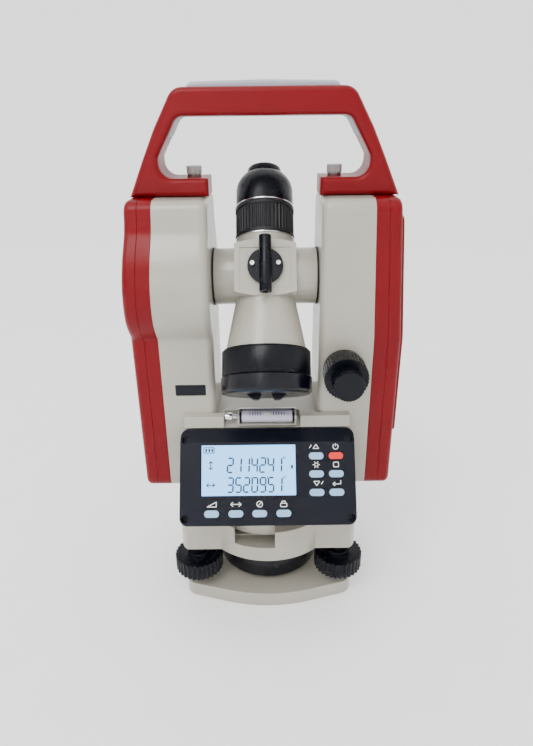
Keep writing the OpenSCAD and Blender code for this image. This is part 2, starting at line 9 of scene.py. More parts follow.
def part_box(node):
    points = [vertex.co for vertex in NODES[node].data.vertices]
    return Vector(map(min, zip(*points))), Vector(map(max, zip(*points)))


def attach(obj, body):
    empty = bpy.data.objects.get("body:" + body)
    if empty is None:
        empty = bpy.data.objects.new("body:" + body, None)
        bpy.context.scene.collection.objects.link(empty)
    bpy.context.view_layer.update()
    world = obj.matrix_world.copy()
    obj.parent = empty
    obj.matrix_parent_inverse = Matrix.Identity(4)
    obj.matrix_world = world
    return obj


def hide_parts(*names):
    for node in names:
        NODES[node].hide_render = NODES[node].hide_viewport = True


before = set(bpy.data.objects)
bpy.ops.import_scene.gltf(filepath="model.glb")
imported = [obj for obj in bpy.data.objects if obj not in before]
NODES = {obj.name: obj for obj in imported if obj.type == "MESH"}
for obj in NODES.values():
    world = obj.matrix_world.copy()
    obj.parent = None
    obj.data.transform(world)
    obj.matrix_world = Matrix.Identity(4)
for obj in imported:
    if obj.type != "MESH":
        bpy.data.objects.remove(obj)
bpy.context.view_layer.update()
MM = 0.001
SIDE_NAMES = {-1: "left", 1: "right"}

# Camera and stage
CAMERA_AT = (0, -0.356, 0.3215)
CAMERA_PITCH = 24.3
CAMERA_ROLL = 0.65
CAMERA_LENS = 27.75

# Tilts that the frame is built with
TELESCOPE_TILT = 31.7
PANEL_LEAN = 33.0


# Places

def centre(node):
    low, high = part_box(node)
    return (Vector(low) + Vector(high)) / 2


def span(node, axis):
    low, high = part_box(node)
    return low[axis], high[axis]


TRANSIT = Vector((0, 0, centre("trunnions").z))
TELESCOPE = Matrix.Translation(TRANSIT) @ Matrix.Rotation(radians(-TELESCOPE_TILT), 4, "X")
PANEL_TURN = Matrix.Rotation(radians(90 - PANEL_LEAN), 4, "X")


# Stage

def make_camera():
    camera = bpy.data.objects.new("camera", bpy.data.cameras.new("camera"))
    bpy.context.scene.collection.objects.link(camera)
    pitch = Matrix.Rotation(radians(90 - CAMERA_PITCH), 4, "X")
    roll = Matrix.Rotation(radians(-CAMERA_ROLL), 4, "Z")
    camera.matrix_world = Matrix.Translation(CAMERA_AT) @ pitch @ roll
    camera.data.lens = CAMERA_LENS
    camera.data.clip_start = 0.01
    bpy.context.scene.camera = camera


def area_light(name, place, size, watts, aim=(0, 0, 0.15)):
    light = bpy.data.objects.new(name, bpy.data.lights.new(name, "AREA"))
    light.data.size = size
    light.data.energy = watts
    light.location = place
    light.rotation_euler = (Vector(aim) - Vector(place)).to_track_quat("-Z", "Y").to_euler()
    bpy.context.scene.collection.objects.link(light)


def make_stage():
    """A pale floor that curves up all round into a wall, open at the top, and soft lights."""
    reach, bend, top = 2.6, 1.1, 2.8
    steps = 16
    curve = [(reach - bend + bend * sin(pi / 2 * k / steps), bend - bend * cos(pi / 2 * k / steps))
             for k in range(steps + 1)]
    profile = [(0, 0)] + curve + [(reach, top)]
    mesh = lathe(profile, closed=False)
    work = bmesh.new()
    work.from_mesh(mesh)
    bmesh.ops.reverse_faces(work, faces=work.faces)
    work.to_mesh(mesh)
    work.free()
    mesh.polygons.foreach_set("use_smooth", [True] * len(mesh.polygons))
    paper = bpy.data.objects.new("paper", mesh)
    bpy.context.scene.collection.objects.link(paper)
    pale = surface("pale_paper", (0.94, 0.94, 0.94), 0.8, grain=400, bump=0.02, mottle=0.01)
    mesh.materials.append(pale)
    area_light("key_light", (-0.45, -0.8, 1.35), 0.7, 13)
    area_light("front_light", (-0.3, -1.5, 0.4), 0.5, 1.5)
    world = bpy.data.worlds.new("studio")
    bpy.context.scene.world = world
    world.use_nodes = True
    ambient = world.node_tree.nodes["Background"]
    ambient.inputs["Color"].default_value = (1, 1, 1, 1)
    ambient.inputs["Strength"].default_value = 2.1


# Materials

def surface(name, colour, rough, metal=0.0, coat=0.0, grain=900, bump=0.05, mottle=0.06, wear=None,
            transmission=0.0, glow=0.0, rough_swing=0.06, specular=0.5):
    """A shader with noise in its colour, gloss and relief. Its edges can be worn to another colour."""
    material = bpy.data.materials.new(name)
    material.use_nodes = True
    tree = material.node_tree
    shader = tree.nodes["Principled BSDF"]
    shader.inputs["Metallic"].default_value = metal
    shader.inputs["Coat Weight"].default_value = coat
    shader.inputs["Coat Roughness"].default_value = 0.08
    shader.inputs["Transmission Weight"].default_value = transmission
    shader.inputs["Specular IOR Level"].default_value = specular
    where = tree.nodes.new("ShaderNodeTexCoord")

    def noise(scale, detail):
        node = tree.nodes.new("ShaderNodeTexNoise")
        node.inputs["Scale"].default_value = scale
        node.inputs["Detail"].default_value = detail
        tree.links.new(where.outputs["Object"], node.inputs["Vector"])
        return node.outputs["Fac"]

    def spread(source, low, high):
        node = tree.nodes.new("ShaderNodeMapRange")
        node.inputs["From Min"].default_value = 0.3
        node.inputs["From Max"].default_value = 0.7
        node.inputs["To Min"].default_value = low
        node.inputs["To Max"].default_value = high
        tree.links.new(source, node.inputs["Value"])
        return node.outputs["Result"]

    def mix(factor, one, two):
        node = tree.nodes.new("ShaderNodeMix")
        node.data_type = "RGBA"
        tree.links.new(factor, node.inputs["Factor"])
        for socket, value in (("A", one), ("B", two)):
            slot = [s for s in node.inputs if s.name == socket and s.type == "RGBA"][0]
            if isinstance(value, tuple):
                slot.default_value = (*value, 1)
            else:
                tree.links.new(value, slot)
        return [s for s in node.outputs if s.type == "RGBA"][0]

    darker = tuple(c * (1 - mottle) for c in colour)
    lighter = tuple(min(1, c * (1 + mottle)) for c in colour)
    tone = mix(spread(noise(28, 3), 0, 1), darker, lighter)
    if wear:
        rounded = tree.nodes.new("ShaderNodeBevel")
        rounded.samples = 4
        rounded.inputs["Radius"].default_value = 0.0008
        flat = tree.nodes.new("ShaderNodeNewGeometry")
        match = tree.nodes.new("ShaderNodeVectorMath")
        match.operation = "DOT_PRODUCT"
        tree.links.new(rounded.outputs["Normal"], match.inputs[0])
        tree.links.new(flat.outputs["Normal"], match.inputs[1])
        edge = tree.nodes.new("ShaderNodeMapRange")
        edge.inputs["From Min"].default_value = 0.98
        edge.inputs["From Max"].default_value = 0.80
        edge.inputs["To Max"].default_value = 0.6
        tree.links.new(match.outputs["Value"], edge.inputs["Value"])
        patchy = tree.nodes.new("ShaderNodeMath")
        patchy.operation = "MULTIPLY"
        tree.links.new(edge.outputs["Result"], patchy.inputs[0])
        tree.links.new(spread(noise(160, 4), 0, 1), patchy.inputs[1])
        tone = mix(patchy.outputs["Value"], tone, wear)
    tree.links.new(tone, shader.inputs["Base Color"])
    tree.links.new(spread(noise(60, 4), rough - rough_swing, rough + rough_swing), shader.inputs["Roughness"])
    relief = tree.nodes.new("ShaderNodeBump")
    relief.inputs["Strength"].default_value = bump
    relief.inputs["Distance"].default_value = 0.0003
    tree.links.new(noise(grain, 5), relief.inputs["Height"])
    tree.links.new(relief.outputs["Normal"], shader.inputs["Normal"])
    if glow:
        tree.links.new(tone, shader.inputs["Emission Color"])
        shader.inputs["Emission Strength"].default_value = glow
    return material


def make_materials():
    return {
        "ivory": surface("ivory_enamel", (0.34, 0.32, 0.27), 0.34, coat=0.25, grain=700, bump=0.10,
                         mottle=0.03, wear=(0.42, 0.40, 0.35)),
        "red": surface("red_enamel", (0.15, 0.0, 0.003), 0.34, grain=500, bump=0.06, mottle=0.05,
                       wear=(0.20, 0.01, 0.01), specular=0.18),
        "black": surface("black_satin", (0.001, 0.0016, 0.004), 0.28, grain=1500, bump=0.05, mottle=0.15,
                         wear=(0.012, 0.012, 0.014), specular=0.18),
        "panel": surface("panel_plastic", (0.002, 0.003, 0.008), 0.36, grain=2200, bump=0.08, mottle=0.15,
                         wear=(0.02, 0.02, 0.026), specular=0.2),
        "gloss": surface("black_gloss", (0.001, 0.0014, 0.004), 0.24, specular=0.28, grain=900, bump=0.02,
                         mottle=0.1, wear=(0.02, 0.02, 0.026)),
        "rubber": surface("ribbed_rubber", (0.006, 0.006, 0.008), 0.5, grain=2600, bump=0.25, mottle=0.2,
                          specular=0.3),
        "grip": surface("grip_rubber", (0.34, 0.35, 0.39), 0.55, grain=2600, bump=0.30, mottle=0.04),
        "steel": surface("turned_steel", (0.30, 0.28, 0.27), 0.42, metal=1.0, grain=1800,
                         bump=0.06, mottle=0.08),
        "bright": surface("bright_steel", (0.66, 0.66, 0.67), 0.22, metal=1.0, grain=1800,
                          bump=0.05, mottle=0.06),
        "glass": surface("clear_glass", (0.85, 0.92, 0.90), 0.06, transmission=0.9, grain=60, bump=0.01,
                         mottle=0.02, rough_swing=0.02),
        "coated": surface("coated_glass", (0.20, 0.22, 0.42), 0.05, coat=1.0, grain=60, bump=0.01, mottle=0.1,
                          rough_swing=0.02),
        "vial": surface("vial_tube_glass", (0.50, 0.47, 0.60), 0.12, coat=0.3, grain=60,
                        bump=0.01, mottle=0.05),
        "liquid": surface("vial_liquid", (0.60, 0.74, 0.55), 0.10, coat=0.8, grain=60,
                          bump=0.01, mottle=0.05),
        "lcd": surface("lcd_backlight", (0.22, 0.52, 0.96), 0.38, grain=3000, bump=0.02, mottle=0.03,
                       glow=1.35, specular=0.2),
        "ink": surface("lcd_segment", (0, 0.03, 0.05), 0.45, grain=2000, bump=0.02, mottle=0.1),
        "mark": surface("printed_mark", (0.80, 0.80, 0.80), 0.5, grain=3000, bump=0.05, mottle=0.03),
        "board": surface("circuit_board", (0, 0.16, 0.07), 0.45, grain=900, bump=0.3, mottle=0.2),
        "cell": surface("cell_wrap", (0.06, 0.10, 0.30), 0.3, coat=0.4, grain=900, bump=0.05),
        "key_blue": surface("key_rubber", (0.27, 0.45, 0.66), 0.48, grain=2600, bump=0.15, mottle=0.05),
        "key_red": surface("key_red_rubber", (0.70, 0.010, 0.008), 0.45, grain=2600, bump=0.15, mottle=0.05),
    }


# Mesh helpers. Outlines are lists of 2D points in millimetres, counter-clockwise.

def fillet(corners):
    """Rounds each (x, y, radius) corner of an outline with an arc."""
    points = []
    count = len(corners)
    for i, (x, y, radius) in enumerate(corners):
        here = Vector((x, y))
        back = (Vector(corners[i - 1][:2]) - here).normalized()
        ahead = (Vector(corners[(i + 1) % count][:2]) - here).normalized()
        half = back.angle(ahead) / 2
        if radius <= 0 or half > pi / 2 - 0.01:
            points.append((x, y))
            continue
        start = here + back * radius / tan(half)
        middle = here + (back + ahead).normalized() * radius / sin(half)
        arm = start - middle
        turn = (pi - 2 * half) * (1 if back.cross(ahead) < 0 else -1)
        steps = max(3, int(abs(turn) / radians(9)))
        for k in range(steps + 1):
            angle = turn * k / steps
            points.append((middle.x + arm.x * cos(angle) - arm.y * sin(angle),
                           middle.y + arm.x * sin(angle) + arm.y * cos(angle)))
    return points


def inset(outline, distance):
    """The outline moved inwards by a distance, point by point."""
    result = []
    count = len(outline)
    for i, point in enumerate(outline):
        before = (Vector(point) - Vector(outline[i - 1])).normalized()
        after = (Vector(outline[(i + 1) % count]) - Vector(point)).normalized()
        normal = Vector((-before.y - after.y, before.x + after.x))
        scale = distance / max(0.4, normal.length_squared / 2)
        result.append((point[0] + normal.x * scale, point[1] + normal.y * scale))
    return result


def rim(radius, level, inwards, steps=5):
    """(level, inset) pairs of a quarter round that ends at level. Inwards is +1 or -1."""
    pairs = []
    for k in range(steps + 1):
        angle = pi / 2 * k / steps
        pairs.append((level + inwards * radius * (1 - sin(angle)), radius * (1 - cos(angle))))
    return pairs


def new_piece(name, mesh, material, body, matrix=None, replaces=()):
    """Adds a mesh, given in millimetres, as a piece that rides a body and fills a material slot."""
    mesh.transform(Matrix.Scale(MM, 4))
    if matrix is not None:
        mesh.transform(matrix)
    piece = bpy.data.objects.new(name, mesh)
    bpy.context.scene.collection.objects.link(piece)
    mesh.materials.append(LOOKS[material])
    smooth(piece)
    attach(piece, body)
    if replaces:
        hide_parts(*replaces)
    return piece


def smooth(piece, angle=35):
    """Smooth shading that stays crisp where faces meet at more than the angle."""
    mesh = piece.data
    mesh.polygons.foreach_set("use_smooth", [True] * len(mesh.polygons))
    work = bmesh.new()
    work.from_mesh(mesh)
    for edge in work.edges:
        edge.smooth = not edge.is_manifold or edge.calc_face_angle(0) < radians(angle)
    work.to_mesh(mesh)
    work.free()
    modifier = piece.modifiers.new("even_shading", "WEIGHTED_NORMAL")
    modifier.keep_sharp = True


def sweep(outline, path, place, closed=False):
    """Walks an outline along (level, inset) pairs. place(u, v, level) gives the 3D point."""
    mesh = bpy.data.meshes.new("sweep")
    work = bmesh.new()
    rings = [[work.verts.new(place(u, v, level)) for u, v in inset(outline, depth)] for level, depth in path]
    pairs = list(zip(rings, rings[1:]))
    if closed:
        pairs.append((rings[-1], rings[0]))
    count = len(outline)
    for one, two in pairs:
        for i in range(count):
            j = (i + 1) % count
            work.faces.new((one[i], one[j], two[j], two[i]))
    if not closed:
        work.faces.new(rings[0])
        work.faces.new(list(reversed(rings[-1])))
    bmesh.ops.remove_doubles(work, verts=work.verts, dist=1e-5)
    bmesh.ops.recalc_face_normals(work, faces=work.faces)
    work.to_mesh(mesh)
    work.free()
    return mesh


def along_x(u, v, level):
    return (level, u, v)


def along_y(u, v, level):
    return (u, level, v)


def along_z(u, v, level):
    return (u, v, level)


def lathe(profile, steps=96, closed=True):
    """A solid of revolution about Z from (radius, height) pairs."""
    circle = [(cos(2 * pi * k / steps), sin(2 * pi * k / steps)) for k in range(steps)]
    mesh = bpy.data.meshes.new("lathe")
    work = bmesh.new()
    rings = [[work.verts.new((r * c, r * s, z)) for c, s in circle] for r, z in profile]
    pairs = list(zip(rings, rings[1:]))
    if closed:
        pairs.append((rings[-1], rings[0]))
    for one, two in pairs:
        for i in range(steps):
            j = (i + 1) % steps
            work.faces.new((one[i], one[j], two[j], two[i]))
    bmesh.ops.remove_doubles(work, verts=work.verts, dist=1e-5)
    bmesh.ops.recalc_face_normals(work, faces=work.faces)
    work.to_mesh(mesh)
    work.free()
    return mesh


def prisms(shapes, low, high):
    """Thin flat prisms from a list of 2D outlines, as one mesh."""
    mesh = bpy.data.meshes.new("prisms")
    work = bmesh.new()
    for shape in shapes:
        bottom = [work.verts.new((x, y, low)) for x, y in shape]
        top = [work.verts.new((x, y, high)) for x, y in shape]
        work.faces.new(list(reversed(bottom)))
        work.faces.new(top)
        for i in range(len(shape)):
            j = (i + 1) % len(shape)
            work.faces.new((bottom[i], bottom[j], top[j], top[i]))
    bmesh.ops.recalc_face_normals(work, faces=work.faces)
    work.to_mesh(mesh)
    work.free()
    return mesh


def stroke(x0, y0, x1, y1, width):
    """A straight printed line as a four-cornered outline."""
    length = hypot(x1 - x0, y1 - y0)
    nx = -(y1 - y0) / length * width / 2
    ny = (x1 - x0) / length * width / 2
    return [(x0 - nx, y0 - ny), (x1 - nx, y1 - ny), (x1 + nx, y1 + ny), (x0 + nx, y0 + ny)]


# CAD nodes that keep their shape: rounded edges and a finish

NODE_LOOKS = {
    "ivory": ["base_plate", "tribrach_head", "alidade_casing", "telescope_body"],
    "black": ["foot_screw_left", "foot_screw_right", "foot_screw_rear", "laser_plummet",
              "vertical_clamp_knob", "vertical_tangent_knob", "horizontal_clamp_knob",
              "horizontal_tangent_knob", "objective_barrel", "coarse_sights", "eyepiece_cover", "eyepiece"],
    "panel": ["panel_housing", "panel_screws"],
    "gloss": ["tribrach_skirt"],
    "rubber": ["focus_ring"],
    "steel": ["spring_plate", "axis_sleeve", "vertical_spindle", "circular_vial", "trunnion_bearings",
              "vertical_clamp_collar", "trunnions", "handle_screw_left", "handle_screw_right"],
    "bright": ["plate_vial_screw"],
    "glass": ["horizontal_circle", "vertical_circle"],
    "vial": ["plate_vial_glass"],
    "coated": ["objective_lens", "focus_lens"],
    "lcd": ["lcd_window"],
    "board": ["main_board"],
    "cell": ["battery_cells"],
    "key_red": ["key_power"],
    "key_blue": ["key_up", "key_light", "key_menu", "key_down", "key_enter", "key_slope", "key_side",
                 "key_zero", "key_hold"],
}
EDGE_MM = {
    "base_plate": 2.4, "tribrach_head": 1.6, "alidade_casing": 2.2, "telescope_body": 0.9,
    "panel_housing": 0.8, "eyepiece_cover": 1.4, "eyepiece": 1.3, "objective_barrel": 0.4,
    "foot_screw_left": 0.35, "foot_screw_right": 0.35, "foot_screw_rear": 0.35, "tribrach_skirt": 3.0,
    "focus_ring": 0.15, "vertical_clamp_knob": 0.3, "vertical_tangent_knob": 0.3,
    "horizontal_clamp_knob": 0.3, "horizontal_tangent_knob": 0.3,
}
EDGE_DEFAULT_MM = 0.35


def finish_cad_nodes():
    """Gives each remaining CAD node its material and rounds its edges with modifiers."""
    for look, names in NODE_LOOKS.items():
        for name in names:
            node = NODES[name]
            node.data.materials.clear()
            node.data.materials.append(LOOKS[look])
            weld = node.modifiers.new("weld", "WELD")
            weld.merge_threshold = 2e-6
            flats = node.modifiers.new("flats", "DECIMATE")
            flats.decimate_type = "DISSOLVE"
            flats.angle_limit = radians(0.6)
            edges = node.modifiers.new("edges", "BEVEL")
            edges.width = EDGE_MM.get(name, EDGE_DEFAULT_MM) * MM
            edges.segments = 3
            edges.limit_method = "ANGLE"
            edges.angle_limit = radians(32)
            edges.harden_normals = True


# Standards and covers

STD_HALF = 28.0
STD_BOTTOM = 88.0
STD_TOP = 278.0
STD_CORNER = 7.0
BULGE = 42.0
SEAM = 0.3

# Distances from the middle: inner face, end of the casting, seam between the covers, outer face
INNER = 32.5
CAST = 66.0
PARTING = 74.5
COVER = 82.85

# Slope and starting level of each side's lean, by the sign of its x
LEAN = {-1: (0.06, 210.0), 1: (0.07, 195.0)}

# Levels of the battery's opening in the right covers, and the slack round it
BAY = (132.0, 266.0)
BAY_INSET = 3.0
BAY_SLACK = 0.3


def standard_outline(round_side):
    """Side view of a standard in Y and Z, with the circle housing's bulge where asked."""
    middle = TRANSIT.z / MM

    def depth(z):
        reach = BULGE ** 2 - (z - middle) ** 2
        bulge = sqrt(reach) if round_side and reach > 0 else 0
        soft = 5.0 if z > middle else 0.6
        return (STD_HALF + bulge + sqrt((STD_HALF - bulge) ** 2 + soft ** 2)) / 2

    steps = 88
    low = STD_BOTTOM + STD_CORNER
    high = STD_TOP - STD_CORNER
    levels = [low + (high - low) * k / steps for k in range(steps + 1)]
    top_half = depth(high)
    corner = [radians(9 * k) for k in range(1, 10)]
    right = [(depth(z), z) for z in levels]
    arcs = [(top_half - STD_CORNER + STD_CORNER * cos(a), high + STD_CORNER * sin(a)) for a in corner]
    base = depth(low)
    foot = [(base - STD_CORNER + STD_CORNER * sin(a), low - STD_CORNER * cos(a)) for a in corner[:-1]]
    half = [(base - STD_CORNER, STD_BOTTOM)] + foot + right + arcs
    return half + [(-y, z) for y, z in reversed(half)]


def shell_path(start, start_round, end, end_round):
    """(level, inset) pairs from one rounded end face to the other."""
    return list(reversed(rim(start_round, start, 1))) + rim(end_round, end, -1)


def drafted(side, x, z):
    """The distance from the middle, drawn in towards the top as a cast cover is."""
    slope, start = LEAN[side]
    return x - slope * max(0, z - start) * max(0, x - INNER) / (COVER - INNER)


def lean_in(side, mesh):
    """Leans the upper part of a side wall towards the middle."""
    work = bmesh.new()
    work.from_mesh(mesh)
    everything = work.verts[:] + work.edges[:] + work.faces[:]
    bmesh.ops.bisect_plane(work, geom=everything, plane_co=(0, 0, LEAN[side][1]), plane_no=(0, 0, 1))
    for vert in work.verts:
        vert.co.x = side * drafted(side, side * vert.co.x, vert.co.z)
    work.to_mesh(mesh)
    work.free()
    return mesh


def cut_box(piece, low, high):
    """Takes a box, in millimetres, out of a piece."""
    cutter = bpy.data.objects.new("cutter", prisms([[
        (low[0], low[1]), (high[0], low[1]), (high[0], high[1]), (low[0], high[1])]], low[2], high[2]))
    cutter.data.transform(Matrix.Scale(MM, 4))
    bpy.context.scene.collection.objects.link(cutter)
    piece.modifiers.clear()
    modifier = piece.modifiers.new("cut", "BOOLEAN")
    modifier.operation = "DIFFERENCE"
    modifier.object = cutter
    modifier.solver = "EXACT"
    graph = bpy.context.evaluated_depsgraph_get()
    mesh = bpy.data.meshes.new_from_object(piece.evaluated_get(graph))
    piece.modifiers.clear()
    piece.data = mesh
    bpy.data.objects.remove(cutter)
    smooth(piece)


def make_standards():
    """Both standards with their cover frames and covers. The battery's opening is cut at the right."""
    pack_low, pack_high = span("battery_pack", 1)
    bay_low = (CAST - 1, pack_low / MM + BAY_INSET - BAY_SLACK, BAY[0] - BAY_SLACK)
    bay_high = (COVER + 2, pack_high / MM - BAY_INSET + BAY_SLACK, BAY[1] + BAY_SLACK)
    for side, label in SIDE_NAMES.items():
        outline = standard_outline(side < 0)

        def place(u, v, level, side=side):
            return (side * level, u, v)

        rows = [
            ("standard", "ivory", "ivory_paint", shell_path(INNER, 5.0, CAST, SEAM)),
            ("cover_frame", "red", "red_gloss", shell_path(CAST + 0.05, SEAM, PARTING, SEAM)),
            ("cover", "red", "red_gloss", shell_path(PARTING + 0.05, SEAM, COVER, 3.6)),
        ]
        for name, look, slot_name, path in rows:
            shell = lean_in(side, sweep(outline, path, place))
            piece = new_piece(f"{label}_{name}_shell", shell, look, "alidade",
                              replaces=[f"{label}_{name}"])
            if side > 0 and name != "standard":
                cut_box(piece, bay_low, bay_high)


def make_battery():
    """The pack's outer plate with its grip ribs, the block behind it and the latch."""
    low, high = (Vector(corner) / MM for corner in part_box("battery_pack"))
    rib = 0.6
    face = high.x - rib
    plate = fillet([(low.y, low.z, 4), (high.y, low.z, 4), (high.y, high.z, 4), (low.y, high.z, 4)])
    shell = lean_in(1, sweep(plate, shell_path(COVER + 0.1, 0.3, face, 1.0), along_x))
    new_piece("battery_plate", shell, "red", "battery", replaces=["battery_pack"])
    block = fillet([(low.y + 3, low.z + 4, 2), (high.y - 3, low.z + 4, 2), (high.y - 3, high.z - 2, 2),
                    (low.y + 3, high.z - 2, 2)])
    core = lean_in(1, sweep(block, shell_path(low.x + 1, 0.6, COVER + 0.2, 0.1), along_x))
    new_piece("battery_block", core, "panel", "battery")
    rib_count, rib_pitch, rib_width, side_gap = 7, 4, 1.6, 8
    ribs = []
    for k in range(rib_count):
        z = low.z + 10 + rib_pitch * k
        ribs.append([(low.y + side_gap, z), (high.y - side_gap, z), (high.y - side_gap, z + rib_width),
                     (low.y + side_gap, z + rib_width)])
    turn = Matrix(((0, 0, 1, 0), (1, 0, 0, 0), (0, 1, 0, 0), (0, 0, 0, 1)))
    new_piece("battery_ribs", prisms(ribs, face - 0.5, high.x), "red", "battery", turn)
    low, high = (Vector(corner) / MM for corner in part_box("battery_latch"))
    latch = fillet([(low.y, low.z, 1.8), (high.y, low.z, 1.8), (high.y, high.z, 1.8), (low.y, high.z, 1.8)])
    new_piece("latch_slide", sweep(latch, shell_path(low.x, 0.3, high.x, 1.0), along_x), "black",
              "battery_latch", replaces=["battery_latch"])


# Handle

def make_handle():
    """The red arch, the pale inlay on top of its bar and the soft lining under it."""
    low, high = span("handle", 1)
    bottom = span("handle", 2)[0] / MM
    arch = fillet(arch_corners(bottom))
    shell = sweep(arch, shell_path(low / MM, 3.2, high / MM, 3.2), along_y)
    new_piece("handle_shell", shell, "red", "alidade", replaces=["handle"])
    crown = [(-43.6, 333.6, 0), (43.6, 333.6, 0), (40, 337.6, 3), (0, 338.3, 200), (-40, 337.6, 3)]
    inlay = sweep(fillet(crown), shell_path(-10, 1.6, 10, 1.6), along_y)
    new_piece("grip_crown", inlay, "grip", "alidade", replaces=["handle_grip"])
    path = fillet([(-53.4, 310, 0), (-47.8, 320.5, 6), (47.8, 320.5, 6), (53.4, 310, 0)])
    section = [(-1.3, -9.1), (0, -9.1), (0.35, -8.7), (0.35, 8.7), (0, 9.1), (-1.3, 9.1)]
    new_piece("grip_lining", ribbon(path, section), "grip", "alidade")


def ribbon(path, section):
    """A section of (depth, y) pairs carried along a path in X and Z, depth being to the right of it."""
    mesh = bpy.data.meshes.new("ribbon")
    work = bmesh.new()
    rings = []
    for k, point in enumerate(path):
        before, after = Vector(path[max(k - 1, 0)]), Vector(path[min(k + 1, len(path) - 1)])
        along = (after - before).normalized()
        rings.append([work.verts.new((point[0] + along.y * depth, y, point[1] - along.x * depth))
                      for depth, y in section])
    count = len(section)
    for one, two in zip(rings, rings[1:]):
        for i in range(count):
            j = (i + 1) % count
            work.faces.new((one[i], one[j], two[j], two[i]))
    work.faces.new(rings[0])
    work.faces.new(list(reversed(rings[-1])))
    bmesh.ops.recalc_face_normals(work, faces=work.faces)
    work.to_mesh(mesh)
    work.free()
    return mesh


def arch_corners(bottom):
    """Front view of the handle as (x, z, radius) corners, counter-clockwise from the right foot."""
    right = [(32, bottom, 0), (77.5, bottom, 0), (68.6, 298, 60), (61, 314, 60), (49.2, 335, 9)]
    left = [(-x, z, r) for x, z, r in reversed(right)]
    opening = [(-32, 288.2, 0), (-59.4, 288.2, 8), (-59.6, 299.5, 4), (-47.8, 320.5, 6)]
    return right + left + opening + [(-x, z, r) for x, z, r in reversed(opening)]


# Panel: display and printed marks

def face_matrix(point):
    """A matrix that lays 2D shapes on the panel's face, in metres, at a point."""
    return Matrix.Translation(point) @ PANEL_TURN


PANEL_UP = PANEL_TURN @ Vector((0, 1, 0))
PANEL_OUT = PANEL_TURN @ Vector((0, 0, 1))
SEGMENTS = {
    "a": (0, 2, 1, 2), "b": (1, 2, 1, 1), "c": (1, 1, 1, 0), "d": (0, 0, 1, 0), "e": (0, 1, 0, 0),
    "f": (0, 2, 0, 1), "g": (0, 1, 1, 1),
}
DIGITS = {
    "0": "abcdef", "1": "bc", "2": "abged", "3": "abgcd", "4": "fgbc", "5": "afgcd", "6": "afgedc",
    "7": "abc", "8": "abcdefg", "9": "abcdfg",
}


def polyline(points, width, closed=False):
    """One stroke for each stretch between neighbouring points."""
    ends = points[1:] + ([points[0]] if closed else [])
    return [stroke(*a, *b, width) for a, b in zip(points, ends)]


def digit_shapes(text, x, y, width, height, pitch):
    """Seven-segment digits, each segment drawn a little short of its neighbours."""
    shapes = []
    lean = 0.05
    for k, character in enumerate(text):
        for name in DIGITS[character]:
            x0, y0, x1, y1 = SEGMENTS[name]
            a = Vector((x0 * width, y0 * height / 2))
            b = Vector((x1 * width, y1 * height / 2))
            gap = (b - a).normalized() * 0.32
            a, b = a + gap, b - gap
            shapes.append(stroke(x + k * pitch + a.x + lean * a.y, y + a.y, x + k * pitch + b.x + lean * b.y,
                                 y + b.y, 1.0))
    return shapes


def ring_points(radius, start=0, end=360, step=30):
    return [(radius * cos(radians(a)), radius * sin(radians(a))) for a in range(start, end, step)]


def make_display():
    """Two seven-digit readings with arrows before them, a battery sign and the window's bezel."""
    low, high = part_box("lcd_window")
    thick = 1.1
    lean = radians(90 - PANEL_LEAN)
    tall = ((high[2] - low[2]) / MM - thick * cos(lean)) / sin(lean)
    corner = Vector((low[0], low[1], high[2] - tall * MM * sin(lean)))
    wide = (high[0] - low[0]) / MM
    lift = 0.02
    rows = (tall * 0.46, tall * 0.075)
    left, pitch, digit_w, digit_h = wide * 0.275, 5.1, 3.4, 8.8
    shapes = []
    for text, base in zip(("2114241", "3520951"), rows):
        shapes += digit_shapes(text, left, base, digit_w, digit_h, pitch)
    for base in rows:
        for k, ticks in ((3, 1), (5, 1), (7, 2)):
            for t in range(ticks):
                x = left + k * pitch - 0.3 + t * 0.9
                shapes.append(stroke(x, base + digit_h - 0.6, x + 0.1, base + digit_h + 0.8, 0.45))
    up_down = [[(0, -2.4), (0, 2.4)]]
    up_down += [[(-1.2, way * 1.2), (0, way * 2.6), (1.2, way * 1.2)] for way in (1, -1)]
    for line in up_down:
        shapes += polyline([(x + wide * 0.10, y + rows[0] + digit_h / 2) for x, y in line], 0.55)
        shapes += polyline([(y + wide * 0.10, x + rows[1] + digit_h / 2) for x, y in line], 0.55)
    sign = [(1.6, tall - 5.0), (8.2, tall - 5.0), (8.2, tall - 1.6), (1.6, tall - 1.6)]
    shapes += polyline(sign, 0.5, True)
    shapes += [stroke(x, tall - 3.3, x + 1.2, tall - 3.3, 2.0) for x in (2.5, 4.4, 6.3)]
    shapes.append(stroke(wide - 3.2, tall * 0.56, wide - 1.8, tall * 0.56, 2.2))
    new_piece("display_segments", prisms(shapes, lift, lift + 0.06), "ink", "alidade",
              face_matrix(corner))
    bezel = fillet([(-0.9, -0.9, 1.6), (wide + 0.9, -0.9, 1.6), (wide + 0.9, tall + 0.9, 1.6),
                    (-0.9, tall + 0.9, 1.6)])
    path = [(-0.3, 0), (0.16, 0), (0.3, 0.3), (0.3, 0.7), (0.1, 1.1), (-0.3, 1.1)]
    new_piece("display_bezel", sweep(bezel, path, along_z, closed=True), "panel", "alidade",
              face_matrix(corner + PANEL_OUT * 0.1 * MM))


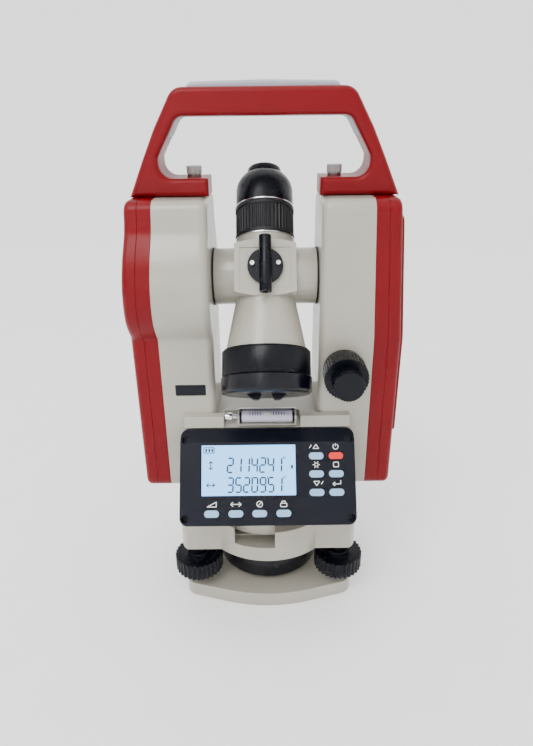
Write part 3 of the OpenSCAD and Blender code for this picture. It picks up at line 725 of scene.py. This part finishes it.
KEY_MARKS = {
    "key_up": [[(-1.5, -0.9), (0, 1.3), (1.5, -0.9), (-1.5, -0.9)], [(-3.4, -0.6), (-2.4, 1.0)]],
    "key_down": [[(-1.5, 0.9), (0, -1.3), (1.5, 0.9), (-1.5, 0.9)], [(2.4, -0.6), (3.4, 1.0)]],
    "key_power": [[(0, 0.2), (0, 1.7)], ring_points(1.4, 120, 421)],
    "key_light": [ring_points(0.9, 0, 361)] + [
        [(1.3 * cos(radians(a)), 1.3 * sin(radians(a))), (1.9 * cos(radians(a)), 1.9 * sin(radians(a)))]
        for a in range(0, 360, 60)],
    "key_menu": [[(-1.3, -1.2), (1.3, -1.2), (1.3, 1.2), (-1.3, 1.2), (-1.3, -1.2)]],
    "key_enter": [[(2.2, 1.3), (2.2, -0.5), (-1.8, -0.5)], [(-0.7, 0.5), (-1.9, -0.5), (-0.7, -1.5)]],
    "key_slope": [[(-2.4, -1.2), (2.4, -1.2), (2.4, 1.3), (-2.4, -1.2)]],
    "key_side": [[(-2.6, 0), (2.6, 0)], [(-1.5, 1.1), (-2.7, 0), (-1.5, -1.1)],
                 [(1.5, 1.1), (2.7, 0), (1.5, -1.1)]],
    "key_zero": [ring_points(1.5, 0, 361), [(-0.9, -0.9), (0.9, 0.9)]],
    "key_hold": [[(-1.6, -1.4), (1.6, -1.4), (1.6, 0.3), (-1.6, 0.3), (-1.6, -1.4)],
                 [(-0.9, 0.4), (-0.9, 1.4), (0.9, 1.4), (0.9, 0.4)]],
}


def make_key_marks():
    """A plain printed mark above each key."""
    half_key = 2.0
    rise = 5.7
    size = 1.2
    for name, lines in KEY_MARKS.items():
        shapes = []
        for line in lines:
            shapes += polyline([(x * size, y * size) for x, y in line], 0.45)
        place = centre(name) + PANEL_OUT * half_key * MM + PANEL_UP * rise * MM
        new_piece(name + "_mark", prisms(shapes, 0.01, 0.07), "mark", "alidade",
                  face_matrix(place))


# Vials, plates and trim

def make_plate_vial():
    """A glass tube with black plugs, in a metal cradle with a back wall and two end posts."""
    place = Matrix.Translation(centre("plate_vial_housing"))
    end, reach = 19.0, 4.4

    def block(name, low, high, look, slot_name, radius=0.4):
        outline = fillet([(low[0], low[1], radius), (high[0], low[1], radius), (high[0], high[1], radius),
                          (low[0], high[1], radius)])
        shell = sweep(outline, shell_path(low[2], 0.3, high[2], 0.3), along_z)
        return new_piece(name, shell, look, "alidade", place)

    piece = block("vial_back", (-end, 3.5, -reach), (end, reach, reach - 0.1), "bright", "chrome_trim")
    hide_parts("plate_vial_housing")
    block("vial_floor", (-end, -4.2, -reach), (end, 3.6, -3.6), "ivory", "ivory_paint")
    for side, label in SIDE_NAMES.items():
        x0, x1 = sorted((side * 17.7, side * end))
        block("vial_post_" + label, (x0, -4.2, -3.7), (x1, 3.6, 2.6), "ivory", "ivory_paint")
    turn = place @ Matrix.Rotation(pi / 2, 4, "Y")
    tube = lathe([(0, -16.6), (3.2, -16.6), (3.6, -16.2), (3.6, 16.2), (3.2, 16.6), (0, 16.6)], 64,
                 closed=False)
    new_piece("vial_tube", tube, "vial", "alidade", turn, replaces=["plate_vial_glass"])
    for side, label in SIDE_NAMES.items():
        plug = lathe([(0, 0), (3.5, 0), (3.8, 0.3), (3.8, 1.2), (3.5, 1.5), (0, 1.5)], 48, closed=False)
        seat = place @ Matrix.Translation((side * 16.2 * MM, 0, 0)) @ Matrix.Rotation(side * pi / 2, 4, "Y")
        new_piece("vial_plug_" + label, plug, "black", "alidade", seat)
    lines = [stroke(side * (4.2 + 1.7 * k), -1.2, side * (4.2 + 1.7 * k), 1.2, 0.45)
             for side in (-1, 1) for k in range(5)]
    forward = place @ Matrix.Rotation(radians(30), 4, "X")
    new_piece("vial_divisions", prisms(lines, 3.3, 3.66), "ink", "alidade", forward)
    bubble = lathe([(0, -3.6), (0.8, -3.4), (1.4, -2.7), (1.6, -1.6), (1.6, 1.6), (1.4, 2.7), (0.8, 3.4),
                    (0, 3.6)], 32, closed=False)
    high = forward @ Matrix.Translation((0, 0, 2.12 * MM)) @ Matrix.Rotation(pi / 2, 4, "Y")
    new_piece("vial_bubble", bubble, "liquid", "alidade", high)


def make_round_vial():
    """The domed glass of the circular vial and the ring printed on it."""
    low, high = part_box("circular_vial")
    place = Vector(((low[0] + high[0]) / 2, (low[1] + high[1]) / 2, high[2]))
    lens = lathe([(0, 0.1), (3, 0), (5.2, -0.4), (6.4, -1), (6.4, -2), (0, -2)], 48, closed=False)
    new_piece("round_vial_lens", lens, "liquid", "tribrach", Matrix.Translation(place))
    ring = lathe([(2.3, 0.05), (2.65, 0.05), (2.65, 0.16), (2.3, 0.16)], 48)
    new_piece("round_vial_ring", ring, "ink", "tribrach", Matrix.Translation(place))


def make_serial_plate():
    """A small blank plate on the front of the left standard."""
    plate = fillet([(-9.6, -3.7, 0.8), (9.6, -3.7, 0.8), (9.6, 3.7, 0.8), (-9.6, 3.7, 0.8)])
    front = Matrix.Translation((-0.0482, -(STD_HALF + 0.05) * MM, 0.1620)) @ Matrix.Rotation(pi / 2, 4, "X")
    new_piece("blank_plate", sweep(plate, [(-0.2, 0), (0.25, 0), (0.4, 0.15)], along_z), "panel", "alidade",
              front)


def make_telescope_trim():
    """Bright rings on both sides of the focus ring, the cone's seam and the seals at the hubs."""
    bore, radius, crest = 15.6, 18.3, 18.75
    for name, low, high in (("trim_ring_front", 22.1, 23.15), ("trim_ring_rear", 43.45, 44.6)):
        ring = lathe([(bore, low), (radius, low), (crest, low + 0.3), (crest, high - 0.3),
                      (radius, high), (bore, high)])
        new_piece(name, ring, "bright", "telescope", TELESCOPE)
    seam = lathe([(24.2, -48.9), (25.9, -48.9), (26.2, -48.6), (26.2, -47.9), (24.2, -47.9)])
    new_piece("cone_seam", seam, "black", "telescope", TELESCOPE)
    for side in (-1, 1):
        ring = lathe([(16.0, 31.3), (17.9, 31.3), (17.9, 32.2), (16.0, 32.2)], 64)
        turn = Matrix.Translation(TRANSIT) @ Matrix.Rotation(side * pi / 2, 4, "Y")
        new_piece("hub_seal_" + SIDE_NAMES[side], ring, "rubber", "telescope", turn)


def make_lens_cap():
    """The push-on cap, with two finger tabs on its lower edge."""
    reach = 75.5
    mouth = -64.8
    cap = [(0, 2 - reach), (25.8, 2 - reach), (25.8, mouth), (27.6, mouth), (28, mouth - 0.4),
           (28, 2.8 - reach), (27.8, 1.7 - reach), (27.2, 0.8 - reach), (26.1, 0.2 - reach),
           (24.6, -reach), (0, -reach)]
    new_piece("cap_shell", lathe(cap, closed=False), "gloss", "lens_cap", TELESCOPE,
              replaces=["lens_cap"])
    for side in (-1, 1):
        corners = [(3.0, 0.3, 0), (3.4, -1.2, 0.6), (4.8, -2.9, 1.2), (8.2, -2.9, 2.0), (11.9, -0.4, 1),
                   (11.9, 0.3, 0)]
        tab = fillet([(side * x, z - reach, r) for x, z, r in corners[::side]])
        new_piece("cap_tab_" + SIDE_NAMES[side], sweep(tab, shell_path(-5, 0.5, 5, 0.5), along_y), "black",
                  "lens_cap", TELESCOPE)


def make_sight_screws():
    """Two ring-shaped screw heads on each of the coarse sights."""
    seat = span("coarse_sights", 0)[1] / MM + 12.2
    for face in (-1, 1):
        for side in (-1, 1):
            head = lathe([(0, 0.1), (0.7, 0.1), (0.8, 0.9), (1.3, 0.9), (1.45, 0.6), (1.45, -1), (0, -1)], 32,
                         closed=False)
            place = Matrix.Translation((side * 7.8 * MM, face * seat * MM, 1 * MM))
            turn = TELESCOPE @ place @ Matrix.Rotation(-face * pi / 2, 4, "X")
            name = f"sight_screw_{'front' if face < 0 else 'rear'}_{SIDE_NAMES[side]}"
            new_piece(name, head, "bright", "telescope", turn)


def make_cover_screws():
    """Flush socket screws that hold the side covers. Each socket is not a hollow but a flat black hexagon on
    the head, as painted shade.
    """
    for side, label in SIDE_NAMES.items():
        for row, (y, z) in enumerate(((-19, 98), (19, 98), (-19, 270), (19, 270))):
            place = (side * drafted(side, COVER, z) * MM, y * MM, z * MM)
            turn = Matrix.Translation(place) @ Matrix.Rotation(side * pi / 2, 4, "Y")
            head = lathe([(0, 0.09), (2.6, 0.09), (2.8, 0), (2.8, -0.8), (0, -0.8)], 32, closed=False)
            new_piece(f"{label}_cover_screw_{row}", head, "steel", "alidade", turn)
            # Painted shade: a flat black hexagon on the steel head stands in for the shaded hollow of the
            # socket.
            socket = lathe([(0, 0.12), (1.3, 0.12), (1.3, 0.05), (0, 0.05)], 6, closed=False)
            new_piece(f"{label}_cover_socket_{row}", socket, "black", "alidade", turn)


LOOKS = make_materials()
make_camera()
make_stage()
finish_cad_nodes()
make_standards()
make_battery()
make_handle()
make_display()
make_key_marks()
make_plate_vial()
make_round_vial()
make_serial_plate()
make_telescope_trim()
make_lens_cap()
make_sight_screws()
make_cover_screws()
